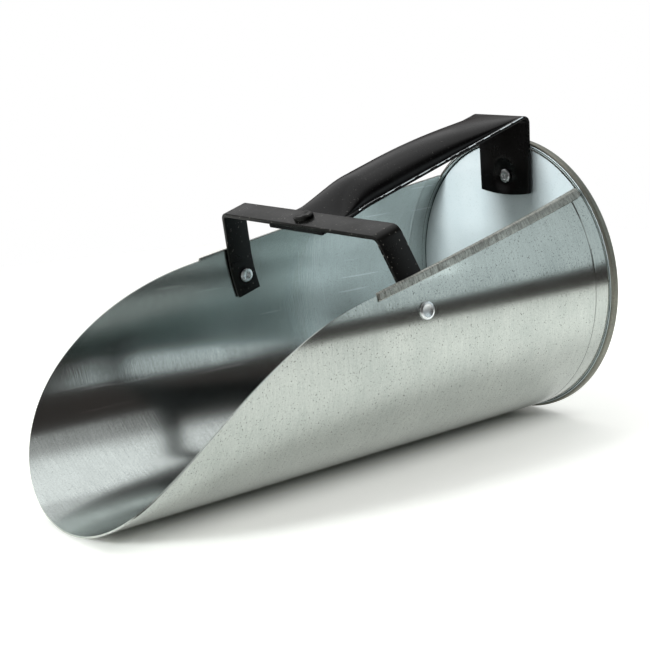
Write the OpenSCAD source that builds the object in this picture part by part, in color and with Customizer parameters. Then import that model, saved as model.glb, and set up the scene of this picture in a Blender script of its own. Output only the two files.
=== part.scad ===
// Feed scoop: a galvanised trough with a seamed back plate, a riveted bridge and a pressed strip handle.
// +Z is up, the mouth faces -Y, and the scoop is symmetric about X = 0.
// The origin is at the middle of the base of the scoop's bounding box.

/* [Body] */
// Outer radius of the body where it meets the seam
body_r = 66; // [60:1:72]
// Thickness of the galvanised sheet
sheet_t = 0.8; // [0.7:0.1:1]
// Half-angle by which the body opens towards the mouth; its bottom line stays level
flare = 1.27; // [0.5:0.01:2]
// Slope of the upper edges, which rise towards the back
edge_slope = 9.7; // [8:0.1:11]
// Height of the hems' front ends above the seam's centre
hem_front_z = 23; // [20:1:25]
// Distance of the hems' front ends from the back of the seam
hem_front = 144; // [138:1:148]
// Depth of each hem, measured straight down
hem_depth = 3.4; // [3:0.1:5]
// How far each hem stands out from the sheet
hem_proud = 1; // [0.8:0.1:1.4]
// Distance of the start of the mouth's curve from the back of the seam
mouth_start = 150.3; // [148:0.1:156]
// Radius of the mouth's curve, seen from the side
mouth_r = 148; // [140:1:156]

/* [Back plate] */
// How far the rolled rim stands out from the body
rim_proud = 1.85; // [1.6:0.05:2.4]
// Width of the rolled rim along the body
rim_w = 4.15; // [4:0.05:5]
// Depth of the plate's inner face in front of the back of the rim
plate_front = 3.1; // [2.8:0.1:3.4]

/* [Bridge] */
// Width of the bridge strap
strap_w = 13; // [11:0.5:15]
// Thickness of the bridge strap
strap_t = 2; // [1.6:0.1:2.5]
// Half the width of the bridge over its shoulders
shoulder_x = 57.5; // [56:0.5:58]
// Height of the strap's upper face above the seam's centre
strap_z = 46; // [45:0.5:48]
// Distance of the strap's middle from the back of the seam
strap_back = 129.4; // [127:0.1:131]
// Length of the legs, measured from the strap's upper face
leg_l = 46; // [44:1:47]

/* [Handle] */
// Slope of the grip and of the bridge strap
grip_slope = 16.2; // [14:0.1:18]
// Thickness of the handle strip
strip_t = 1.6; // [1.2:0.1:2]
// Half the width of the tongue under the bridge
tongue_x = 19.6; // [18:0.2:21]
// Half the width of the bracket at the back plate
bracket_x = 17.2; // [16:0.2:18]
// Height of the half-round grip above its flanges
grip_rise = 9.2; // [7:0.2:12]
// Width of the flange along each side of the grip
flange_w = 2; // [1.5:0.1:3]
// Height of the bracket's lower end above the seam's centre
bracket_z = 40; // [38:0.5:42]

/* [Rivets] */
// Shank radius of every rivet
shank_r = 2.3; // [2:0.1:2.5]
// Head radius of the wall rivets and the back plate rivet
head_r = 3.9; // [3.5:0.1:4.5]
// Radius of the rolled tails
tail_r = 3.4; // [3.1:0.1:3.8]
// Head radius of the tongue rivet
tongue_head_r = 4.6; // [4.2:0.1:5]
// Height of the tongue rivet's head
tongue_head_h = 2.3; // [1.5:0.1:2.6]

/* [Hidden] */

galvanised = [0.72, 0.75, 0.74];
black_paint = [0.08, 0.09, 0.1];
zinc = [0.82, 0.84, 0.84];

round_fn = 144;
hole_fn = 48;
rivet_fn = 64;
// Gap left between faces of two pieces that lie against each other in the seam
fit_gap = 0.1;
// How far a cutting tool reaches past the metal it cuts
past = 6;

// Seam: the plate's rim wraps a hook turned out of the body's end.
rim_r = body_r + rim_proud;
hook_back = -sheet_t;
hook_front = hook_back - sheet_t;
hook_r = rim_r - sheet_t - fit_gap;
hook_l = rim_w - 3 * sheet_t - fit_gap;
wall_in = body_r - sheet_t;
cup_r = wall_in - fit_gap;
// The wall's end stands a hair inside and in front of the hook's back face.
wall_end = hook_back - 0.2;
hook_in = wall_in + 0.3;

// Upper edge and mouth, seen from the side. The bare edge in front of the hem lies a step lower.
hem_step = 1.2;
edge_rise = tan(edge_slope);
function edge_z(y) = hem_front_z + edge_rise * (y + hem_front);
raw_z0 = edge_z(-mouth_start) - hem_step;
mouth_cy = -mouth_start + mouth_r * sin(edge_slope);
mouth_cz = raw_z0 - mouth_r * cos(edge_slope);
tip_y = mouth_cy - sqrt(mouth_r * mouth_r - (-body_r - mouth_cz) * (-body_r - mouth_cz));
body_l = -tip_y;
// The hems stop a little short of the seam.
hem_end = rim_w + 2.4;
// A narrow ring of the body runs all round in front of the rim.
neck_front = rim_w + 1.15;

mouth_low = -body_r - 10;
mouth_low_angle = asin((mouth_low - mouth_cz) / mouth_r);
mouth_steps = 48;

// Points of a circular arc
function arc(centre, r, from, to, steps) =
    [for (i = [0:steps]) let(a = from + (to - from) * i / steps) centre + r * [cos(a), sin(a)]];

// Local section of the flared body at a distance y (negative) from the back of the seam.
function section_r(y) = body_r + (hook_front - y) * tan(flare);
function section_z(y) = section_r(y) - body_r;

// Handle: lines of the outer face in the (Y, Z) plane, measured along the grip's slope from the bridge.
strap_mid = [-strap_back, strap_z];
along = [cos(grip_slope), sin(grip_slope)];
outward = [-sin(grip_slope), cos(grip_slope)];
tongue_start = -strap_w / 2 + 0.2;
bracket_back = -rim_w - 0.25;
bend_r = 3.5;
bend_turn = 90 + grip_slope;
bend_run = bend_r * tan(bend_turn / 2);
grip_end = (bracket_back + strap_back - strap_t * sin(grip_slope)) / cos(grip_slope) - bend_run;
nose_start = strap_w / 2 - 1;
nose_l = 27;
fade_l = 75;
taper_start = strap_w / 2;
taper_l = 20;
grip_steps = 26;
bend_steps = 6;
arch_steps = 12;
foot_bow = 1.6;

function grip_point(s) = strap_mid - outward * strap_t + along * s;
function ease(u) = sin(90 * max(0, min(1, u)));
function rise_at(s) = grip_rise * ease((s - nose_start) / nose_l) * pow(ease((grip_end - s) / fade_l), 0.8);
function half_w(s) = tongue_x + (bracket_x - tongue_x) * max(0, min(1, (s - taper_start) / taper_l));

// Rivets: where they stand, and the shape of the heads and rolled tails
wall_rivet_y = -119;
wall_rivet_lift = 7.3;
plate_rivet_z = 49;
dimple_r = 5;
dimple_wall = 0.5;
head_h = 1.4;
tail_h = 1.3;
tail_hole_r = 1.4;
tail_hole_depth = 1;
foot_t = 2.6;
wall_grip = sheet_t + foot_t;

// Moves from the seam's frame, whose origin is the centre of the rim's back, to the part's own frame.
module place() {
    translate([0, body_l / 2, rim_r]) children();
}

// A flared solid whose surface lies `inset` inside the body's outer surface.
module flared(inset, extra = 0) {
    length = body_l + 3 * past + extra;
    translate([0, hook_front, -body_r]) rotate([-flare, 0, 0])
        translate([0, past, body_r]) rotate([90, 0, 0])
            cylinder(h = length, r1 = body_r - past * tan(flare) - inset,
                r2 = body_r + (length - past) * tan(flare) - inset, $fn = round_fn);
}

// The body's wall, or any coat between two insets of its surface.
module flared_wall(outer, inner) {
    difference() {
        flared(outer);
        flared(inner, past);
    }
}

// Extrudes a (Y, Z) outline across the whole width.
module across(width = 200) {
    rotate([90, 0, 90]) linear_extrude(height = width, center = true) children();
}

// Side view of the body sheet: under the raw upper edge, inside the mouth's curve, and round behind the hems.
module body_outline() {
    polygon(concat([[wall_end, mouth_low], [wall_end, 2 * body_r], [-neck_front, 2 * body_r],
        [-neck_front, edge_z(-neck_front) - hem_step]],
        arc([mouth_cy, mouth_cz], mouth_r, 90 + edge_slope, 180 - mouth_low_angle, mouth_steps)));
}

module hem_outline() {
    polygon([[-hem_end, edge_z(-hem_end) - hem_depth], [-hem_end, edge_z(-hem_end)],
        [-hem_front, edge_z(-hem_front)], [-hem_front, edge_z(-hem_front) - hem_depth]]);
}

module body_sheet() {
    intersection() {
        flared_wall(0, sheet_t);
        across() body_outline();
    }
}

module hems() {
    intersection() {
        flared_wall(-hem_proud, sheet_t);
        across() hem_outline();
    }
}

// The body's end, turned outwards and forwards inside the plate's rim.
module seam_hook() {
    rotate([90, 0, 0]) rotate_extrude($fn = round_fn)
        polygon([[hook_in, -hook_back], [hook_r, -hook_back], [hook_r, -hook_front + hook_l],
            [hook_r - sheet_t, -hook_front + hook_l], [hook_r - sheet_t, -hook_front],
            [hook_in, -hook_front]]);
}

// Puts its children on a wall rivet's axis, +Z outwards, with the origin on the body's outer surface.
module on_wall(side) {
    r = section_r(wall_rivet_y);
    translate([0, wall_rivet_y, section_z(wall_rivet_y)])
        rotate([0, side * (90 - wall_rivet_lift), 0]) translate([0, 0, r]) children();
}

module rivet_hole() {
    cylinder(r = shank_r, h = 4 * past, center = true, $fn = hole_fn);
}

module shell() {
    color(galvanised) place() difference() {
        union() {
            body_sheet();
            hems();
            seam_hook();
        }
        for (side = [-1, 1]) on_wall(side) rivet_hole();
    }
}

module back_plate() {
    lip_r = body_r + 0.15;
    color(galvanised) place() difference() {
        rotate([90, 0, 0]) rotate_extrude($fn = round_fn)
            polygon([[0, plate_front - sheet_t], [cup_r - sheet_t, plate_front - sheet_t],
                [cup_r - sheet_t, 0], [rim_r, 0], [rim_r, rim_w], [lip_r, rim_w],
                [lip_r, rim_w - sheet_t], [rim_r - sheet_t, rim_w - sheet_t],
                [rim_r - sheet_t, sheet_t], [cup_r, sheet_t], [cup_r, plate_front], [0, plate_front]]);
        translate([0, 0, plate_rivet_z]) rotate([90, 0, 0]) rivet_hole();
    }
}

// The bridge's outline in the plane across the strap: half of it runs down to the right foot and back.
// u runs sideways and v down from the strap's upper face.
knee = [66, 31];
toe = [69, leg_l];
inner_knee = [63.9, 31];
inner_toe = [65.3, leg_l];
shoulder_out = 4.5;
shoulder_in = shoulder_out - strap_t;
leg_lean = atan((knee[0] - shoulder_x) / knee[1]);
shoulder_centre = [shoulder_x - shoulder_out * tan((90 - leg_lean) / 2), shoulder_out];
half_bridge = concat(arc(shoulder_centre, shoulder_out, -90, -leg_lean, 8),
    [knee, toe, inner_toe, inner_knee], arc(shoulder_centre, shoulder_in, -leg_lean, -90, 8));
last_point = len(half_bridge) - 1;

module bridge_outline() {
    polygon(concat(half_bridge,
        [for (i = [last_point:-1:0]) [-half_bridge[i][0], half_bridge[i][1]]]));
}

// Turns the (u, v) plane of the bridge into place, with the strap's width along the slope.
module in_strap_plane() {
    translate([0, -strap_back, strap_z]) rotate([grip_slope, 0, 0]) rotate([-90, 0, 0]) children();
}

// The legs are cut to the curve of the wall, so that their feet lie flat against it.
module bridge() {
    wall_top = 26;
    color(black_paint) place() difference() {
        in_strap_plane() linear_extrude(height = strap_w, center = true) bridge_outline();
        intersection() {
            flared_wall(-2 * past, sheet_t);
            translate([-2 * body_r, -strap_back - 2 * strap_w, -body_r])
                cube([4 * body_r, 4 * strap_w, body_r + wall_top]);
        }
        in_strap_plane() rotate([90, 0, 0]) rivet_hole();
        for (side = [-1, 1]) on_wall(side) rivet_hole();
    }
}

// One closed cross-section of the handle strip, as (x, height) pairs.
// It is flat where rise is 0, and arched over the hand between two flanges elsewhere.
function strip_section(half, rise) =
    let(b = half - flange_w, wall = strip_t * min(1, rise / strip_t))
    concat([[-half, 0]],
        [for (i = [0:arch_steps]) let(a = 180 - 180 * i / arch_steps) [b * cos(a), rise * sin(a)]],
        [[half, 0], [half, -strip_t]],
        [for (i = [0:arch_steps]) let(a = 180 * i / arch_steps)
            [(b - wall) * cos(a), rise * sin(a) - strip_t]],
        [[-half, -strip_t]]);

// Stations along the strip: [point (y, z), outward direction (y, z), half width, rise].
bend_centre = grip_point(grip_end) - outward * bend_r;
bracket_drop = bend_centre[1] - bracket_z;
strip_stations = concat(
    [[grip_point(tongue_start), outward, tongue_x, 0]],
    [for (i = [0:grip_steps]) let(s = nose_start + (grip_end - nose_start) * i / grip_steps)
        [grip_point(s), outward, half_w(s), rise_at(s)]],
    [for (i = [1:bend_steps]) let(a = 90 + grip_slope - bend_turn * i / bend_steps)
        [bend_centre + bend_r * [cos(a), sin(a)], [cos(a), sin(a)], bracket_x, 0]],
    [[bend_centre + [bend_r, -bracket_drop], [1, 0], bracket_x - 0.6, 0]]);

section_n = 2 * (arch_steps + 1) + 4;
function ring_points(station) = [for (p = strip_section(station[2], station[3]))
    let(q = station[0] + station[1] * p[1]) [p[0], q[0], q[1]]];

module strip_blank() {
    rings = len(strip_stations);
    points = [for (station = strip_stations) each ring_points(station)];
    sides = [for (k = [0:rings - 2], i = [0:section_n - 1])
        let(a = k * section_n + i, b = k * section_n + (i + 1) % section_n)
        each [[a, b + section_n, b], [a, a + section_n, b + section_n]]];
    // Each end is closed by strips between the outer and the inner line of its section.
    half = section_n / 2;
    end_faces = [for (i = [0:half - 2])
        let(a = i, b = i + 1, c = section_n - 2 - i, d = section_n - 1 - i)
        each [[a, b, c], [a, c, d]]];
    last = (rings - 1) * section_n;
    polyhedron(points = points, faces = concat(sides, end_faces,
        [for (f = end_faces) [f[0] + last, f[2] + last, f[1] + last]]), convexity = 6);
}

module handle() {
    bracket_front = bracket_back - strip_t;
    bow_r = (bracket_x * bracket_x + foot_bow * foot_bow) / (2 * foot_bow);
    color(black_paint) place() difference() {
        union() {
            strip_blank();
            translate([0, bracket_back, plate_rivet_z]) rotate([-90, 0, 0])
                cylinder(r = dimple_r, h = -plate_front - bracket_back, $fn = rivet_fn);
        }
        // dimple that brings the strip against the plate
        translate([0, bracket_front - past, plate_rivet_z]) rotate([-90, 0, 0])
            cylinder(r = dimple_r - dimple_wall, h = past - plate_front - bracket_front - strip_t,
                $fn = rivet_fn);
        translate([0, 0, plate_rivet_z]) rotate([90, 0, 0]) rivet_hole();
        in_strap_plane() rotate([90, 0, 0]) rivet_hole();
        // bowed lower end
        translate([0, bracket_front - past, bracket_z]) rotate([-90, 0, 0])
            linear_extrude(height = strip_t + 2 * past) difference() {
                translate([-2 * bracket_x, -foot_bow]) square([4 * bracket_x, foot_bow + past]);
                translate([0, -bow_r]) circle(r = bow_r, $fn = 2 * round_fn);
            }
    }
}

// A semi-tubular rivet along +Z: the head's underside is at 0 and its tail is rolled over at -grip_t.
module rivet(grip_t) {
    crown = (head_r * head_r + head_h * head_h) / (2 * head_h);
    rotate_extrude($fn = rivet_fn) {
        intersection() {
            translate([0, head_h - crown]) circle(r = crown, $fn = round_fn);
            square([head_r, head_h]);
        }
        translate([0, -grip_t]) square([shank_r, grip_t]);
        difference() {
            translate([0, -grip_t - tail_h]) square([tail_r, tail_h]);
            translate([0, -grip_t - tail_h]) square([tail_hole_r, tail_hole_depth]);
        }
    }
}

module left_bridge_rivet() {
    color(zinc) place() on_wall(-1) rivet(wall_grip);
}

module right_bridge_rivet() {
    color(zinc) place() on_wall(1) rivet(wall_grip);
}

module back_plate_rivet() {
    color(zinc) place() translate([0, -plate_front + sheet_t, plate_rivet_z]) rotate([-90, 0, 0])
        rivet(sheet_t + strip_t);
}

module tongue_rivet() {
    color(black_paint) place() in_strap_plane() rotate([90, 0, 0]) rotate_extrude($fn = rivet_fn) {
        square([tongue_head_r, tongue_head_h]);
        translate([0, -strap_t - strip_t]) square([shank_r, strap_t + strip_t]);
        translate([0, -strap_t - strip_t - tail_h]) square([tail_r, tail_h]);
    }
}

shell();
back_plate();
bridge();
handle();
left_bridge_rivet();
right_bridge_rivet();
back_plate_rivet();
tongue_rivet();
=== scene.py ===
import math
import random

import bmesh
import bpy
from mathutils import Matrix, Vector


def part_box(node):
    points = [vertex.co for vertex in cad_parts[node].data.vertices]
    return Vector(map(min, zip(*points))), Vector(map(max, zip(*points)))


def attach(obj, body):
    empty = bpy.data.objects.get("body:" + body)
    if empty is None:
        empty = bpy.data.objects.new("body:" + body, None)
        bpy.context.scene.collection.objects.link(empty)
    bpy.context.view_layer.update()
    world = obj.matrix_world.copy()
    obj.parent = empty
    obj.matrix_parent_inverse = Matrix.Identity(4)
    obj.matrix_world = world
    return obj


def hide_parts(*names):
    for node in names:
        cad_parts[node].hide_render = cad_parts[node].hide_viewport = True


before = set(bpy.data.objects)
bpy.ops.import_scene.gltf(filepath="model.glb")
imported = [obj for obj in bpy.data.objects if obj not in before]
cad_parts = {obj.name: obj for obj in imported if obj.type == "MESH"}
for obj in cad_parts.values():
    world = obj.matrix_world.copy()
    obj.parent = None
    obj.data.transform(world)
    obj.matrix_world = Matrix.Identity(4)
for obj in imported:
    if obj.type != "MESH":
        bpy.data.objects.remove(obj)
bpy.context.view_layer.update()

# Lengths are in millimetres in the seam's frame: its origin is the centre of the rim's back,
# the mouth faces -Y and +Z is up. place() turns them into metres in the model's own frame.
MM = 0.001
plate_low, plate_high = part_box("back_plate")
BACK_Y = plate_high.y
RIM_R = (plate_high.z - plate_low.z) / 2 / MM

# Body. HEM_STEP is how far the hem's top stands above the sheet's own edge.
BODY_R = 66.0
SHEET_T = 0.8
FLARE = math.tan(math.radians(1.27))
FLARE_START = -1.6
SHEET_END = -1.0
EDGE_RISE = math.tan(math.radians(9.7))
HEM_FRONT, HEM_FRONT_Z = -144.0, 23.0
HEM_DEPTH, HEM_PROUD, HEM_STEP = 3.4, 1.0, 1.2
HEM_END = -6.55
MOUTH_START, MOUTH_R = -150.3, 148.0
CREASE_Y, CREASE_DEPTH, CREASE_HALF_W = -13.85, 0.16, 0.3
CREASE_TOP = 37.0

# Seam and back plate. RIM_FACE is the depth of the rim's dull outer band.
RIM_W, RIM_FACE = 4.15, 1.1
PLATE_FACE = -3.1
NECK_FRONT = -5.3
SEAM_GAP = 0.1
HOOK_FRONT, HOOK_STEP, HOOK_BACK = 3.2, 1.6, 0.85

# Bridge. Its legs meet the wall KNEE_V below the strap's upper face.
STRAP_W, STRAP_T = 13.0, 2.0
STRAP_BACK, STRAP_Z = 129.4, 46.0
SHOULDER_X, SHOULDER_R, KNEE_V, LEG_L = 57.5, 3.6, 27.0, 46.0
FOOT_GAP = 0.05

# Handle
GRIP_SLOPE = math.radians(16.2)
STRIP_T = 1.6
TONGUE_X, BRACKET_X = 19.6, 17.2
GRIP_RISE, FLANGE_W = 9.2, 2.0
BRACKET_Z, BEND_R, FOOT_BOW = 40.0, 3.5, 1.6
NOSE_L, FADE_L = 27.0, 75.0

# Rivets. FOOT_T is the strap's thickness with the gap that its flat foot leaves on the curved wall.
SHANK_R, HEAD_R, TAIL_R = 2.3, 3.9, 3.4
WALL_RIVET_Y, WALL_RIVET_LIFT = -119.0, 7.3
FOOT_T = 2.6
PLATE_RIVET_Z = 49.0
DISH_W = 6.5


def place(x, y, z):
    return Vector((x * MM, y * MM + BACK_Y, (z + RIM_R) * MM))


def smooth(t):
    t = max(0.0, min(1.0, t))
    return t * t * (3 - 2 * t)


def ease(t):
    return math.sin(math.pi / 2 * max(0.0, min(1.0, t)))


# ---------------------------------------------------------------- materials

def new_material(name):
    material = bpy.data.materials.new(name)
    material.use_nodes = True
    shader = material.node_tree.nodes["Principled BSDF"]
    return material, shader


def add(material, kind, inputs=None, **settings):
    """Adds a node. Each input is a value, or another node's output socket."""
    tree = material.node_tree
    node = tree.nodes.new(kind)
    for key, value in settings.items():
        setattr(node, key, value)
    for key, value in (inputs or {}).items():
        if isinstance(value, bpy.types.NodeSocket):
            tree.links.new(value, node.inputs[key])
        else:
            node.inputs[key].default_value = value
    return node


def noise(material, vector, scale, detail=3.0, roughness=0.55):
    return add(material, "ShaderNodeTexNoise", {"Vector": vector, "Scale": scale, "Detail": detail,
                                                "Roughness": roughness}).outputs["Fac"]


def stretched(material, vector, factors):
    return add(material, "ShaderNodeVectorMath", {0: vector, 1: factors}, operation="MULTIPLY").outputs[0]


def ramp(material, factor, stops):
    node = add(material, "ShaderNodeValToRGB", {"Fac": factor})
    elements = node.color_ramp.elements
    while len(elements) < len(stops):
        elements.new(0.5)
    for element, (position, colour) in zip(elements, stops):
        element.position = position
        element.color = colour if len(colour) == 4 else (*colour, 1.0)
    return node.outputs["Color"]


def grey(value):
    return (value, value, value, 1.0)


def math_node(material, operation, a, b=0.0, c=0.0):
    return add(material, "ShaderNodeMath", {0: a, 1: b, 2: c}, operation=operation).outputs[0]


def blend(material, factor, a, b, mode="MIX"):
    node = add(material, "ShaderNodeMix", data_type="RGBA", blend_type=mode)
    tree = material.node_tree
    sockets = {0: factor, 6: a, 7: b}
    for index, value in sockets.items():
        if isinstance(value, bpy.types.NodeSocket):
            tree.links.new(value, node.inputs[index])
        else:
            node.inputs[index].default_value = value
    return node.outputs[2]


def bump(material, height, distance, strength=1.0, normal=None):
    inputs = {"Height": height, "Distance": distance, "Strength": strength}
    if normal is not None:
        inputs["Normal"] = normal
    return add(material, "ShaderNodeBump", inputs).outputs["Normal"]


def object_coordinates(material):
    return add(material, "ShaderNodeTexCoord").outputs["Object"]


def connect(material, shader, **sockets):
    for name, value in sockets.items():
        material.node_tree.links.new(value, shader.inputs[name.replace("_", " ")])


def step(material, value, start, end):
    """0 below start, 1 above end, smooth between. start may be the larger of the two."""
    node = add(material, "ShaderNodeMapRange", {"Value": value, "From Min": start, "From Max": end},
               interpolation_type="SMOOTHSTEP")
    return node.outputs["Result"]


def product(material, *factors):
    total = factors[0]
    for factor in factors[1:]:
        total = math_node(material, "MULTIPLY", total, factor)
    return total


def line(material, value, at, width):
    """1 on the line where value equals at, 0 further than width from it."""
    away = math_node(material, "ABSOLUTE", math_node(material, "SUBTRACT", value, at))
    return step(material, away, width, width * 0.3)


ZINC_LIGHT, ZINC_DARK = (0.50, 0.53, 0.50), (0.36, 0.39, 0.37)
# Colour of the darker lines on the body and of the painted shadow under its hems.
LINE_AND_SHADOW_COLOUR = (0.06, 0.065, 0.06, 1.0)
SPECK = (0.10, 0.10, 0.09, 1.0)


def galvanised(name, light, dark, rough, specks=0.5, ribbed=0.15):
    """Zinc-coated sheet: soft mottling, fine circumferential rolling grain and small dark specks."""
    material, shader = new_material(name)
    where = object_coordinates(material)
    cloud = noise(material, where, 38.0, 4.0)
    grain = noise(material, stretched(material, where, (90.0, 1500.0, 90.0)), 1.0, 2.0)
    fine = noise(material, where, 1500.0, 2.0, 0.7)
    speck = noise(material, where, 1300.0, 1.0)
    mottled = math_node(material, "MULTIPLY_ADD", fine, 0.5, math_node(material, "MULTIPLY", cloud, 0.5))
    mottled = math_node(material, "MULTIPLY", mottled, 0.8)
    mottled = math_node(material, "MULTIPLY_ADD", grain, 0.25, mottled)
    colour = ramp(material, mottled, [(0.36, dark), (0.66, light)])
    spots = ramp(material, speck, [(0.65, grey(0.0)), (0.72, grey(specks))])
    colour = blend(material, spots, colour, SPECK)
    roughness = ramp(material, mottled, [(0.3, grey(rough * 1.25)), (0.7, grey(rough * 0.8))])
    relief = bump(material, fine, 0.00002, 0.3)
    relief = bump(material, grain, 0.00003, ribbed, relief)
    connect(material, shader, Roughness=roughness, Normal=relief)
    shader.inputs["Metallic"].default_value = 1.0
    return material, shader, where, colour


def sheet_metal():
    """The body's outside, with a painted shadow under the hems and darker lines along the neck's crease and
    the seam.
    """
    material, shader, where, colour = galvanised("galvanised_sheet", ZINC_LIGHT, ZINC_DARK, 0.17, 0.8)
    split = add(material, "ShaderNodeSeparateXYZ", {0: where})
    y, z = split.outputs["Y"], split.outputs["Z"]
    # Darker lines along the neck's crease, fading out above CREASE_TOP, and along the seam.
    crease = line(material, y, CREASE_Y * MM + BACK_Y, 0.35 * MM)
    fade = step(material, z, (RIM_R + CREASE_TOP + 4) * MM, (RIM_R + CREASE_TOP) * MM)
    seam = line(material, y, -RIM_W * MM + BACK_Y, 0.5 * MM)
    # A painted shadow: a thin dark band on the sheet just under the hems' lower edge, from their front end
    # back.
    above = math_node(material, "MULTIPLY_ADD", y, -EDGE_RISE, z)
    hem_line = RIM_R + HEM_FRONT_Z - HEM_DEPTH - EDGE_RISE * (HEM_FRONT + BACK_Y / MM)
    under = line(material, above, hem_line * MM, 0.55 * MM)
    along = step(material, y, (HEM_FRONT - 1.0) * MM + BACK_Y, HEM_FRONT * MM + BACK_Y)
    # Mix the darker lines and the painted hem shadow into the colour.
    lines_and_painted_shadow = product(material, crease, fade, 0.55)
    lines_and_painted_shadow = math_node(material, "MAXIMUM", lines_and_painted_shadow, product(material, seam, 0.7))
    lines_and_painted_shadow = math_node(material, "MAXIMUM", lines_and_painted_shadow, product(material, under, along, 0.8))
    connect(material, shader, Base_Color=blend(material, lines_and_painted_shadow, colour, LINE_AND_SHADOW_COLOUR))
    return material


def inner_metal():
    """The body's inside: the same sheet, scratched by use."""
    light, dark = (0.53, 0.575, 0.56), (0.38, 0.415, 0.405)
    material, shader, where, colour = galvanised("scratched_sheet", light, dark, 0.17, 0.3, 0.5)
    turned = add(material, "ShaderNodeMapping", {"Vector": where, "Rotation": (0.5, 0.2, 0.3),
                                                 "Scale": (120.0, 16.0, 420.0)}).outputs[0]
    scratch = ramp(material, noise(material, turned, 1.0, 1.0), [(0.70, grey(0.0)), (0.73, grey(0.35))])
    connect(material, shader, Base_Color=blend(material, scratch, colour, (0.85, 0.88, 0.88, 1.0)))
    return material


def plain_metal(*settings, metallic=1.0):
    material, shader, where, colour = galvanised(*settings)
    connect(material, shader, Base_Color=colour)
    shader.inputs["Metallic"].default_value = metallic
    return material


def hem_metal():
    """The rolled edge: duller, with a fine cross grain left by the seaming roller."""
    light, dark = (0.55, 0.565, 0.52), (0.34, 0.35, 0.32)
    material, shader, where, colour = galvanised("hem_metal", light, dark, 0.45, 0.6)
    ribs = noise(material, stretched(material, where, (300.0, 1200.0, 300.0)), 1.0, 3.0, 0.75)
    shade = ramp(material, ribs, [(0.36, grey(0.35)), (0.58, grey(1.0))])
    connect(material, shader, Base_Color=blend(material, 0.7, colour, shade, "MULTIPLY"))
    return material


def black_paint(name, rough, dust, tint):
    """Black paint over steel: a slight orange peel, with dust and small light chips."""
    material, shader = new_material(name)
    where = object_coordinates(material)
    cloud = noise(material, where, 60.0, 4.0)
    peel = noise(material, where, 420.0, 2.0)
    speck = noise(material, where, 900.0, 1.0)
    colour = ramp(material, cloud, [(0.3, tuple(0.4 * c for c in tint)), (0.75, tint)])
    spots = ramp(material, speck, [(0.70, grey(0.0)), (0.75, grey(dust))])
    colour = blend(material, spots, colour, (0.20, 0.19, 0.17, 1.0))
    roughness = ramp(material, cloud, [(0.3, grey(rough * 0.8)), (0.7, grey(rough * 1.3))])
    connect(material, shader, Base_Color=colour, Roughness=roughness,
            Normal=bump(material, peel, 0.0001, 0.2))
    shader.inputs["Specular IOR Level"].default_value = 0.16
    return material


def bright_zinc(name):
    material, shader = new_material(name)
    where = object_coordinates(material)
    wear = noise(material, where, 260.0, 2.0)
    colour = ramp(material, wear, [(0.3, (0.60, 0.63, 0.64)), (0.7, (0.74, 0.77, 0.78))])
    roughness = ramp(material, wear, [(0.3, grey(0.34)), (0.7, grey(0.2))])
    connect(material, shader, Base_Color=colour, Roughness=roughness,
            Normal=bump(material, wear, 0.00002, 0.3))
    shader.inputs["Metallic"].default_value = 1.0
    return material


SHEET = sheet_metal()
INSIDE = inner_metal()
HEM = hem_metal()
# The plate's inner face is a brighter, bluer copy of the galvanised sheet: painted light standing in for
# the bright reflection it shows.
PLATE_PAINTED_BRIGHT = plain_metal("galvanised_plate", (0.88, 0.97, 1.0), (0.76, 0.86, 0.90), 0.22, 0.15, metallic=0.5)
BACK_FACE = plain_metal("galvanised_back", ZINC_LIGHT, ZINC_DARK, 0.2, 0.8)
# A painted highlight: a near-white metal strip on the grip's flange corners stands in for the bright line
# the light makes there.
EDGE_HIGHLIGHT = plain_metal("worn_edge", (0.88, 0.92, 0.93), (0.74, 0.78, 0.79), 0.4, 0.2, 0.0)
RIM = plain_metal("rim_metal", (0.27, 0.27, 0.23), (0.17, 0.17, 0.145), 0.5, 0.5)
GRIP_PAINT = black_paint("glossy_black_paint", 0.24, 0.15, (0.0025, 0.0025, 0.0027))
STRAP_PAINT = black_paint("worn_black_paint", 0.3, 0.6, (0.006, 0.006, 0.0055))
ZINC = bright_zinc("bright_zinc")


# ---------------------------------------------------------------- mesh tools

def loft(rings, wrap=False, caps=True):
    """Joins closed rings of points. wrap joins the last ring to the first."""
    count = len(rings[0])
    points = [p for ring in rings for p in ring]
    faces = []
    last = len(rings) if wrap else len(rings) - 1
    for k in range(last):
        a, b = k * count, (k + 1) % len(rings) * count
        for i in range(count):
            j = (i + 1) % count
            faces.append((a + i, a + j, b + j, b + i))
    if caps and not wrap:
        faces.append(tuple(range(count)))
        faces.append(tuple(range(len(points) - 1, len(points) - count - 1, -1)))
    return points, faces


def lathe(profile, turn, steps=96):
    """Spins a closed (radius, height) profile. turn(r, angle, h) gives the point."""
    rings = [[turn(r, 2 * math.pi * k / steps, h) for r, h in profile] for k in range(steps)]
    return loft(rings, wrap=True)


def joined(*parts):
    points, faces = [], []
    for part_points, part_faces in parts:
        start = len(points)
        points.extend(part_points)
        faces.extend(tuple(start + i for i in face) for face in part_faces)
    return points, faces


def rounded(corners, radii, steps=5, closed=True):
    """Replaces each corner of a 2D outline by an arc of the given radius."""
    result = []
    count = len(corners)
    for i in range(count):
        here = Vector(corners[i])
        radius = radii[i] if isinstance(radii, (list, tuple)) else radii
        if radius == 0 or (not closed and i in (0, count - 1)):
            result.append(tuple(here))
            continue
        before = (Vector(corners[i - 1]) - here).normalized()
        after = (Vector(corners[(i + 1) % count]) - here).normalized()
        half = before.angle(after) / 2
        reach = radius / math.tan(half)
        centre = here + (before + after).normalized() * radius / math.sin(half)
        start = here + before * reach - centre
        end = here + after * reach - centre
        for k in range(steps + 1):
            t = k / steps
            arm = (start * math.sin((1 - t) * (math.pi - 2 * half))
                   + end * math.sin(t * (math.pi - 2 * half)))
            result.append(tuple(centre + arm.normalized() * radius))
    return result


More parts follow.
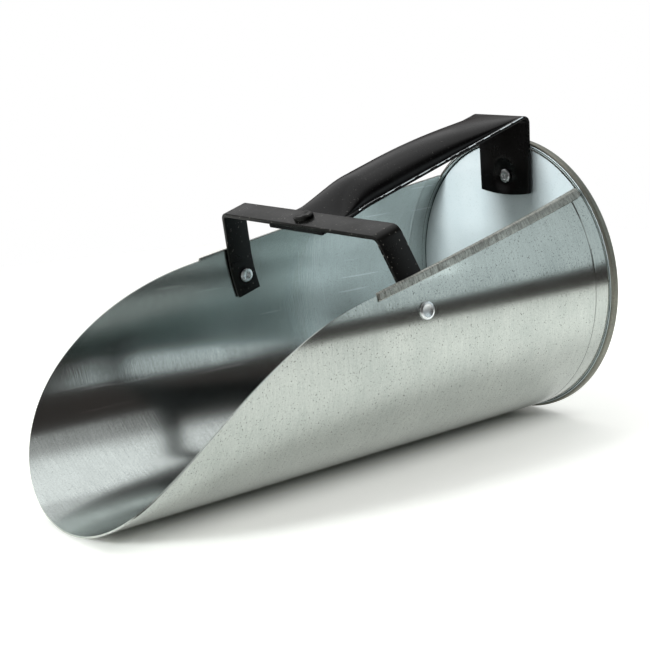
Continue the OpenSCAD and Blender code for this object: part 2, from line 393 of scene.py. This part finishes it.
def thick_path(path, thickness):
    """A closed outline that follows an open 2D path at half the thickness on both sides."""
    left, right = [], []
    for i, point in enumerate(path):
        before = Vector(path[max(i - 1, 0)])
        after = Vector(path[min(i + 1, len(path) - 1)])
        along = (after - before).normalized()
        side = Vector((-along.y, along.x)) * thickness / 2
        left.append(tuple(Vector(point) + side))
        right.append(tuple(Vector(point) - side))
    return left + right[::-1]


def make_piece(name, shape, node, material, sharp=40, others=()):
    """others holds (material, test) pairs. A material goes on the faces whose middle passes its test."""
    points, faces = shape
    mesh = bpy.data.meshes.new(name)
    mesh.from_pydata([place(*p) for p in points], [], faces)
    work = bmesh.new()
    work.from_mesh(mesh)
    bmesh.ops.remove_doubles(work, verts=work.verts, dist=1e-6)
    bmesh.ops.dissolve_degenerate(work, edges=work.edges, dist=1e-7)
    bmesh.ops.recalc_face_normals(work, faces=work.faces)
    work.to_mesh(mesh)
    work.free()
    mesh.materials.append(material)
    mesh.polygons.foreach_set("use_smooth", [True] * len(mesh.polygons))
    mesh.set_sharp_from_angle(angle=math.radians(sharp))
    piece = bpy.data.objects.new(name, mesh)
    bpy.context.scene.collection.objects.link(piece)
    for index, (other, test) in enumerate(others, 1):
        mesh.materials.append(other)
        for face in mesh.polygons:
            if test(face.center):
                face.material_index = index
    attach(piece, "root")
    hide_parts(node)
    return piece


# ---------------------------------------------------------------- body

def section_r(y):
    """Outer radius of the body at y, with the fine crease round its neck."""
    r = BODY_R + (FLARE_START - y) * FLARE
    return r - CREASE_DEPTH * math.exp(-((y - CREASE_Y) / CREASE_HALF_W) ** 2)


def section_z(y):
    """Height of the section's centre. It rises with the flare, so that the body's lowest line is level."""
    return (FLARE_START - y) * FLARE


def edge_z(y):
    """Height of the hem's top."""
    return HEM_FRONT_Z + EDGE_RISE * (y - HEM_FRONT)


# The mouth's edge is an arc in side view, tangent to the sheet's upper edge.
slope = math.atan(EDGE_RISE)
mouth_cy = MOUTH_START + MOUTH_R * math.sin(slope)
mouth_cz = edge_z(MOUTH_START) - HEM_STEP - MOUTH_R * math.cos(slope)
tip_y = mouth_cy - math.sqrt(MOUTH_R ** 2 - (-BODY_R - mouth_cz) ** 2)


def sheet_top(y):
    """Height of the sheet's own edge at y."""
    if y > MOUTH_START:
        return edge_z(y) - HEM_STEP
    return mouth_cz + math.sqrt(max(0.0, MOUTH_R ** 2 - (y - mouth_cy) ** 2))


def wall_point(angle, y, inset=0.0):
    """A point on the body at an angle from its lowest line, inset from its outer surface."""
    r = section_r(y) - inset
    return (r * math.sin(angle), y, section_z(y) - r * math.cos(angle))


def body_sheet():
    fine = [CREASE_Y + d for d in (1.2, 0.6, 0.35, 0.15, 0.0, -0.15, -0.35, -0.6, -1.2)]
    stations = [SHEET_END, -RIM_W, HEM_END, -10.0] + fine
    steps = 60
    stations += [-16.0 + (MOUTH_START + 16.0) * k / steps for k in range(steps + 1)]
    steps = 56
    stations += [MOUTH_START + (tip_y - MOUTH_START) * math.sin(math.pi / 2 * k / steps)
                 for k in range(1, steps)] + [tip_y + 0.002]
    across = 192
    outer, inner = [], []
    for y in stations:
        r = section_r(y)
        top = math.acos(max(-1.0, min(1.0, (section_z(y) - sheet_top(y)) / r)))
        outer.append([wall_point(top * (2 * i / across - 1), y) for i in range(across + 1)])
        inner.append([wall_point(top * (2 * i / across - 1), y, SHEET_T) for i in range(across + 1)])
    rings = [o + i[::-1] for o, i in zip(outer, inner)]
    return loft(rings)


def around_y(r, angle, h):
    """A lathe about the seam's axis: h runs forward from the rim's back."""
    return (r * math.sin(angle), -h, -r * math.cos(angle))


def neck_ring():
    inside, outside = BODY_R - SHEET_T, BODY_R
    back, front = -SHEET_END, -NECK_FRONT
    return lathe([(inside, back), (outside, back), (outside, front), (inside, front)], around_y, 240)


def seam_hook():
    """The shell's flange: out from the neck and forward under the plate's rim."""
    outside = RIM_R - SHEET_T - SEAM_GAP
    inside = BODY_R - SHEET_T + 0.3
    return lathe([(inside, HOOK_BACK), (outside, HOOK_BACK), (outside, HOOK_FRONT),
                  (outside - SHEET_T, HOOK_FRONT), (outside - SHEET_T, HOOK_STEP), (inside, HOOK_STEP)],
                 around_y, 240)


def hem(side):
    """The folded upper edge, marked across by the seaming roller."""
    marks = random.Random(11)
    grooves, y = [], HEM_FRONT
    while y < HEM_END:
        grooves.append((y, marks.uniform(0.05, 0.2), marks.uniform(0.14, 0.3)))
        y += marks.uniform(0.6, 1.5)
    outline = rounded([(-SHEET_T, 0.0), (HEM_PROUD, 0.0), (HEM_PROUD, HEM_DEPTH), (0.05, HEM_DEPTH),
                       (-SHEET_T + 0.05, HEM_DEPTH)], [0.75, 0.85, 0.35, 0.0, 0.0], 5)
    rings = []
    length = HEM_END - HEM_FRONT
    steps = 520
    for k in range(steps + 1):
        y = HEM_FRONT + length * k / steps
        depth = sum(d * math.exp(-((y - at) / w) ** 2) for at, d, w in grooves if abs(y - at) < 1.2)
        front = 1 - smooth((y - HEM_FRONT) / 0.9)
        back = 1 - smooth((HEM_END - y) / 1.6)
        ring = []
        for d, h in outline:
            if d > 0.1:
                d = d - depth * smooth(h / 0.8) - 0.35 * front * smooth(d / HEM_PROUD)
            h = min(h, HEM_DEPTH - 0.9 * back * back)
            z = edge_z(y) - h
            r = section_r(y) + d
            ring.append((side * math.sqrt(r * r - (z - section_z(y)) ** 2), y, z))
        rings.append(ring)
    return loft(rings)


def is_inside(point):
    """True on the inner half of the sheet's thickness."""
    y = (point.y - BACK_Y) / MM
    return math.hypot(point.x / MM, point.z / MM - RIM_R - section_z(y)) < section_r(y) - SHEET_T * 0.6


make_piece("scoop_body", joined(body_sheet(), neck_ring(), seam_hook()), "shell", SHEET, 40,
           [(INSIDE, is_inside)])
make_piece("left_hem", hem(-1), "shell", HEM, 40, [(INSIDE, is_inside)])
make_piece("right_hem", hem(1), "shell", HEM, 40, [(INSIDE, is_inside)])


# ---------------------------------------------------------------- back plate

def back_plate():
    """The plate's sheet runs out, back, round the rim and in to its lip."""
    half = SHEET_T / 2
    cup = BODY_R - SHEET_T - SEAM_GAP - half
    path = rounded([(0.0, -PLATE_FACE - half), (cup, -PLATE_FACE - half), (cup, half),
                    (RIM_R - half, half), (RIM_R - half, RIM_W - half), (BODY_R + 0.2, RIM_W - half)],
                   [0, 0.55, 0.6, 0.75, 0.75, 0], 6, closed=False)
    inner = path[0]
    spread = [(inner[0] + (path[1][0] - inner[0]) * k / 24, inner[1]) for k in range(24)]
    return lathe(thick_path(spread + path[1:], SHEET_T), around_y, 240)


def on_rim(point):
    """True on the rim's outer face and its rounded corners."""
    return math.hypot(point.x, point.z - RIM_R * MM) > (RIM_R - RIM_FACE) * MM


def is_outside(point):
    """True on the plate's outer face, behind the middle of its thickness."""
    return point.y > BACK_Y + (PLATE_FACE + SHEET_T * 0.6) * MM and not on_rim(point)


# The plate's inner face gets the brighter copy, painted light; its rim and outer face keep their own
# colours.
make_piece("seamed_back", back_plate(), "back_plate", PLATE_PAINTED_BRIGHT, 40,
           [(RIM, on_rim), (BACK_FACE, is_outside)])


# ---------------------------------------------------------------- bridge

def strap_point(u, v, w):
    """u runs across, v down from the strap's upper face, and w along its width."""
    c, s = math.cos(GRIP_SLOPE), math.sin(GRIP_SLOPE)
    return (u, -STRAP_BACK + w * c + v * s, STRAP_Z + w * s - v * c)


def wall_reach(v):
    """Distance of the wall's inner face from the middle, level with v at the strap's middle."""
    x, y, z = strap_point(0, v, 0)
    r = section_r(y) - SHEET_T
    return math.sqrt(r * r - (z - section_z(y)) ** 2)


def bridge_path():
    """The middle line of the strap: level on top, sloping legs, and feet along the wall."""
    half_t = STRAP_T / 2
    corner = (SHOULDER_X - 0.75, half_t)
    knee = (wall_reach(KNEE_V) - half_t - 3 * FOOT_GAP, KNEE_V)
    side = rounded([(0.0, half_t), corner, knee], [0, SHOULDER_R, 0], 10, closed=False)
    level = [(corner[0] * k / 10 * 0.93, half_t) for k in range(10)]
    foot = []
    steps = 12
    for k in range(1, steps + 1):
        v = KNEE_V + (LEG_L - KNEE_V) * k / steps
        closing = 2 * FOOT_GAP * (1 - k / steps)
        foot.append((wall_reach(v) - half_t - FOOT_GAP - closing, v))
    half = level + side[1:] + foot
    return [(-u, v) for u, v in half[:0:-1]] + half


def bridge():
    path = bridge_path()
    half_w, half_t = STRAP_W / 2, STRAP_T / 2
    outline = rounded([(-half_w, -half_t), (half_w, -half_t), (half_w, half_t), (-half_w, half_t)], 0.38, 4)
    rings = []
    for i, point in enumerate(path):
        before = Vector(path[max(i - 1, 0)])
        after = Vector(path[min(i + 1, len(path) - 1)])
        along = (after - before).normalized()
        out = Vector((along.y, -along.x))
        rings.append([strap_point(point[0] + out.x * t, point[1] + out.y * t, w) for w, t in outline])
    return loft(rings)


make_piece("bridge_strap", bridge(), "bridge", STRAP_PAINT, 50)


# ---------------------------------------------------------------- handle

# The strip's side view, in (y, z). grip_zero is its upper face under the middle of the strap.
along = Vector((math.cos(GRIP_SLOPE), math.sin(GRIP_SLOPE)))
outward = Vector((-along.y, along.x))
grip_zero = Vector((-STRAP_BACK, STRAP_Z)) - outward * STRAP_T
bracket_back = -RIM_W - 0.25
bend_run = BEND_R * math.tan((math.pi / 2 + GRIP_SLOPE) / 2)
grip_end = (bracket_back + STRAP_BACK - STRAP_T * math.sin(GRIP_SLOPE)) / math.cos(GRIP_SLOPE) - bend_run
nose_start = STRAP_W / 2 - 1


def rise_at(s):
    """Height of the grip's arch, s along the strip."""
    return GRIP_RISE * ease((s - nose_start) / NOSE_L) * ease((grip_end - s) / FADE_L) ** 0.8


def half_width(s):
    t = smooth((s - STRAP_W / 2) / 20)
    return TONGUE_X + (BRACKET_X - TONGUE_X) * t


def strip_outline(half, rise):
    """One cross-section of the strip as (x, height) pairs, with softened flange edges."""
    steps = 44
    arch = half - FLANGE_W
    wall = STRIP_T * min(1.0, rise / STRIP_T)
    soft = 0.35
    top = [(-half + soft, 0.0)]
    under = []
    for i in range(steps + 1):
        a = math.pi - math.pi * i / steps
        top.append((arch * math.cos(a), rise * math.sin(a)))
        under.append(((arch - wall) * math.cos(a), rise * math.sin(a) - STRIP_T))
    top.append((half - soft, 0.0))
    right = [(half - 0.1, -0.05), (half, -soft), (half, -STRIP_T + soft), (half - 0.1, -STRIP_T + 0.1),
             (half - soft, -STRIP_T)]
    left = [(-x, z) for x, z in right[::-1]]
    return top + right + under[::-1] + left


def strip_stations():
    """(point, outward direction, half width, rise, distance below the bend) along the strip."""
    stations = [(grip_zero + along * s, outward, TONGUE_X, 0.0, 0.0)
                for s in (-STRAP_W / 2 + 0.2, -3.0, 0.0, 3.0)]
    steps = 84
    for k in range(steps + 1):
        s = nose_start + (grip_end - nose_start) * k / steps
        stations.append((grip_zero + along * s, outward, half_width(s), rise_at(s), 0.0))
    centre = grip_zero + along * grip_end - outward * BEND_R
    steps = 12
    turn = math.pi / 2 + GRIP_SLOPE
    for k in range(1, steps + 1):
        a = math.pi / 2 + GRIP_SLOPE - turn * k / steps
        arm = Vector((math.cos(a), math.sin(a)))
        stations.append((centre + arm * BEND_R, arm, BRACKET_X, 0.0, 0.0))
    drop = centre.y - BRACKET_Z
    steps = 44
    for k in range(1, steps + 1):
        fall = drop * k / steps
        narrowing = 0.6 * k / steps
        stations.append((centre + Vector((BEND_R, -fall)), Vector((1, 0)), BRACKET_X - narrowing, 0.0,
                         k / steps))
    return stations


def handle():
    rings = []
    for point, out, half, rise, below in strip_stations():
        ring = []
        for x, h in strip_outline(half, rise):
            y = point.x + out.x * h
            z = point.y + out.y * h
            z += FOOT_BOW * (x / BRACKET_X) ** 2 * smooth((below - 0.75) / 0.25)
            if below > 0:
                away = math.hypot(x, z - PLATE_RIVET_Z)
                y += (PLATE_FACE - bracket_back) * (1 - smooth((away - TAIL_R) / DISH_W))
            ring.append((x, y, z))
        rings.append(ring)
    return loft(rings)


def is_edge_highlight(point):
    """True on the upper corner of the grip's flanges, where a bright strip is painted as a highlight."""
    here = Vector(((point.y - BACK_Y) / MM, point.z / MM - RIM_R)) - grip_zero
    s = here.dot(along)
    outermost = abs(point.x / MM) > half_width(s) - 0.3
    return outermost and NOSE_L * 0.6 < s < grip_end and here.dot(outward) > -0.2


# The grip's flange corners carry the painted highlight strip.
make_piece("strip_handle", handle(), "handle", GRIP_PAINT, 42, [(EDGE_HIGHLIGHT, is_edge_highlight)])


# ---------------------------------------------------------------- rivets

def rivet_profile(grip, head=1.05):
    """(radius, height) of a set semi-tubular rivet: a low dished head and a rolled, hollow tail."""
    top = rounded([(0.0, head - 0.3), (HEAD_R - 0.9, head), (HEAD_R, head - 0.35), (HEAD_R, 0.0)],
                  [0, 0.5, 0.3, 0], 5, closed=False)
    lowest, edge = top[0], top[1]
    dish = [(edge[0] * k / 6, lowest[1] + (edge[1] - lowest[1]) * (k / 6) ** 2) for k in range(6)]
    tail = rounded([(SHANK_R, -grip), (TAIL_R, -grip), (TAIL_R, -grip - 1.1), (1.5, -grip - 1.3),
                    (1.3, -grip - 0.2), (0.0, -grip)], [0, 0.3, 0.6, 0.55, 0.3, 0], 5, closed=False)
    return dish + top[1:] + [(SHANK_R, 0.0)] + tail


def wall_rivet(side):
    lift = math.radians(WALL_RIVET_LIFT)
    out = Vector((side * math.cos(lift), 0, math.sin(lift)))
    up = Vector((-side * math.sin(lift), 0, math.cos(lift)))
    foot = Vector((0, WALL_RIVET_Y, section_z(WALL_RIVET_Y))) + out * section_r(WALL_RIVET_Y)
    forward = Vector((0, 1, 0))

    def turn(r, angle, h):
        return tuple(foot + out * h + (forward * math.cos(angle) + up * math.sin(angle)) * r)

    return lathe(rivet_profile(SHEET_T + FOOT_T), turn, 64)


make_piece("left_wall_rivet", wall_rivet(-1), "left_bridge_rivet", ZINC, 50)
make_piece("right_wall_rivet", wall_rivet(1), "right_bridge_rivet", ZINC, 50)


def plate_rivet_turn(r, angle, h):
    return (r * math.sin(angle), PLATE_FACE + SHEET_T + h, PLATE_RIVET_Z + r * math.cos(angle))


make_piece("plate_rivet", lathe(rivet_profile(SHEET_T + STRIP_T), plate_rivet_turn, 64),
           "back_plate_rivet", ZINC, 50)


def tongue_rivet():
    """A rough rivet head, hammered and painted over."""
    marks = random.Random(4)
    bumps = [(marks.uniform(0, 2 * math.pi), marks.uniform(1.0, 3.6), marks.uniform(-0.3, 0.25))
             for _ in range(9)]
    profile = rounded([(0.0, 2.1), (3.7, 2.1), (4.6, 1.4), (4.5, 0.0)], [0, 0.7, 0.6, 0], 5, closed=False)
    profile = [(profile[0][0] + profile[1][0] * k / 5, 2.1) for k in range(5)] + profile[1:]
    grip = STRAP_T + STRIP_T
    profile += [(SHANK_R, 0.0), (SHANK_R, -grip), (TAIL_R, -grip), (TAIL_R, -grip - 0.9),
                (TAIL_R - 0.5, -grip - 1.3), (0.0, -grip - 1.3)]

    def turn(r, angle, h):
        if h > 0:
            r = r * (1 + 0.04 * math.sin(3 * angle + 1) - 0.1 * math.exp(-((angle - 3.6) / 0.22) ** 2))
        if h > 1.0:
            x, y = r * math.cos(angle), r * math.sin(angle)
            for at, far, size in bumps:
                d = math.hypot(x - far * math.cos(at), y - far * math.sin(at))
                h += size * math.exp(-(d / 1.1) ** 2)
        return strap_point(r * math.cos(angle), -h, r * math.sin(angle))

    return lathe(profile, turn, 64)


make_piece("painted_rivet", tongue_rivet(), "tongue_rivet", STRAP_PAINT, 50)


# ---------------------------------------------------------------- floor, lights and camera

def floor():
    """A round pale table top that glows a little, so that away from the scoop it is brighter than its light
    makes it; close to the scoop the glow is masked off, a painted contact shadow.
    """
    radius, steps = 0.62, 96
    mesh = bpy.data.meshes.new("floor")
    turns = [2 * math.pi * k / steps for k in range(steps)]
    mesh.from_pydata([(radius * math.cos(a), radius * math.sin(a), 0) for a in turns], [],
                     [tuple(range(steps))])
    material, shader = new_material("pale_floor")
    where = object_coordinates(material)
    split = add(material, "ShaderNodeSeparateXYZ", {0: where})
    side = math_node(material, "ABSOLUTE", split.outputs["X"])
    end = math_node(material, "ABSOLUTE", split.outputs["Y"])
    # A painted contact shadow: the glow is masked off within about 1 cm of the scoop and fades back in by
    # about 5 cm.
    beyond = math_node(material, "MAXIMUM", math_node(material, "SUBTRACT", end, 0.10), 0.0)
    glow_outside_painted_shadow = step(material, math_node(material, "MAXIMUM", side, beyond), 0.010, 0.046)
    cloud = noise(material, where, 3.0)
    tone = ramp(material, cloud, [(0.3, (0.88, 0.88, 0.85)), (0.7, (0.92, 0.92, 0.89))])
    connect(material, shader, Base_Color=tone, Emission_Color=blend(material, glow_outside_painted_shadow, grey(0.0), tone))
    shader.inputs["Emission Strength"].default_value = 0.48
    shader.inputs["Roughness"].default_value = 0.9
    shader.inputs["Specular IOR Level"].default_value = 0.1
    mesh.materials.append(material)
    piece = bpy.data.objects.new("floor", mesh)
    bpy.context.scene.collection.objects.link(piece)


def soft_light(name, place_at, aim, size, radiance, colour=(1, 1, 1), spread=180.0):
    """A rectangular soft light, in metres. It lights the scene but isn't seen as a shape behind it."""
    light = bpy.data.lights.new(name, "AREA")
    light.shape = "RECTANGLE"
    light.size, light.size_y = size
    light.energy = radiance * math.pi * size[0] * size[1]
    light.spread = math.radians(spread)
    light.color = colour
    lamp = bpy.data.objects.new(name, light)
    lamp.location = place_at
    lamp.rotation_euler = (Vector(aim) - Vector(place_at)).to_track_quat("-Z", "Y").to_euler()
    lamp.visible_camera = False
    bpy.context.scene.collection.objects.link(lamp)
    return lamp


def studio():
    """A soft studio: bright overhead and on the left, lighter in front, dark on the right.
    The backdrop itself is plain white."""
    world = bpy.data.worlds.new("studio")
    world.use_nodes = True
    bpy.context.scene.world = world
    where = add(world, "ShaderNodeTexCoord").outputs["Generated"]
    split = add(world, "ShaderNodeSeparateXYZ", {0: where})
    x, y, z = split.outputs
    tilted = math_node(world, "MULTIPLY_ADD", x, -0.6, z)
    overhead = product(world, step(world, tilted, 0.70, 0.88), 0.95)
    front = product(world, step(world, y, -0.45, -0.8), step(world, z, 0.0, 0.3), 0.7)
    behind = product(world, step(world, y, 0.5, 0.8), step(world, x, 0.1, -0.4),
                     step(world, z, 0.05, 0.3), 0.5)
    total = math_node(world, "MAXIMUM", front, math_node(world, "MAXIMUM", overhead, behind))
    tint = blend(world, total, (0.05, 0.041, 0.038, 1.0), (1.0, 1.0, 1.0, 1.0))
    seen = add(world, "ShaderNodeLightPath").outputs["Is Camera Ray"]
    colour = blend(world, seen, tint, (1.0, 1.0, 1.0, 1.0))
    world.node_tree.links.new(colour, world.node_tree.nodes["Background"].inputs["Color"])


def camera():
    """The camera's place is in the seam's frame, in millimetres."""
    azimuth, elevation, roll = math.radians(53.089), math.radians(12.925), math.radians(3.584)
    forward = Vector((-math.sin(azimuth) * math.cos(elevation), math.cos(azimuth) * math.cos(elevation),
                      -math.sin(elevation)))
    right = forward.cross(Vector((0, 0, 1))).normalized()
    up = right.cross(forward)
    turned_right = right * math.cos(roll) - up * math.sin(roll)
    turned_up = up * math.cos(roll) + right * math.sin(roll)
    lens = bpy.data.cameras.new("camera")
    lens.lens = 84.9
    lens.sensor_width = 36.0
    view = bpy.data.objects.new("camera", lens)
    turn = Matrix((turned_right, turned_up, -forward)).transposed().to_4x4()
    view.matrix_world = Matrix.Translation(place(543.46, -529.78, 151.62)) @ turn
    bpy.context.scene.collection.objects.link(view)
    bpy.context.scene.camera = view


floor()
studio()
soft_light("overhead", (-0.05, 0.0, 1.5), (-0.05, 0, 0), (1.6, 1.6), 0.5)
soft_light("rear_card", (0.27, 0.48, 0.27), (0.27, 0.0, 0.27), (0.96, 0.32), 0.85, (0.88, 1.0, 1.04))
soft_light("side_card", (0.31, 0.20, 0.24), (-0.06, -0.05, 0.04), (0.15, 0.12), 0.75, (0.92, 1.0, 1.02))
front = soft_light("front", (-0.1, -0.95, 0.45), (0.0, 0.12, 0.09), (0.3, 0.3), 2.6, (0.95, 1.0, 1.0), 30.0)
front.visible_glossy = False
camera()
bpy.context.scene.view_settings.view_transform = "Standard"
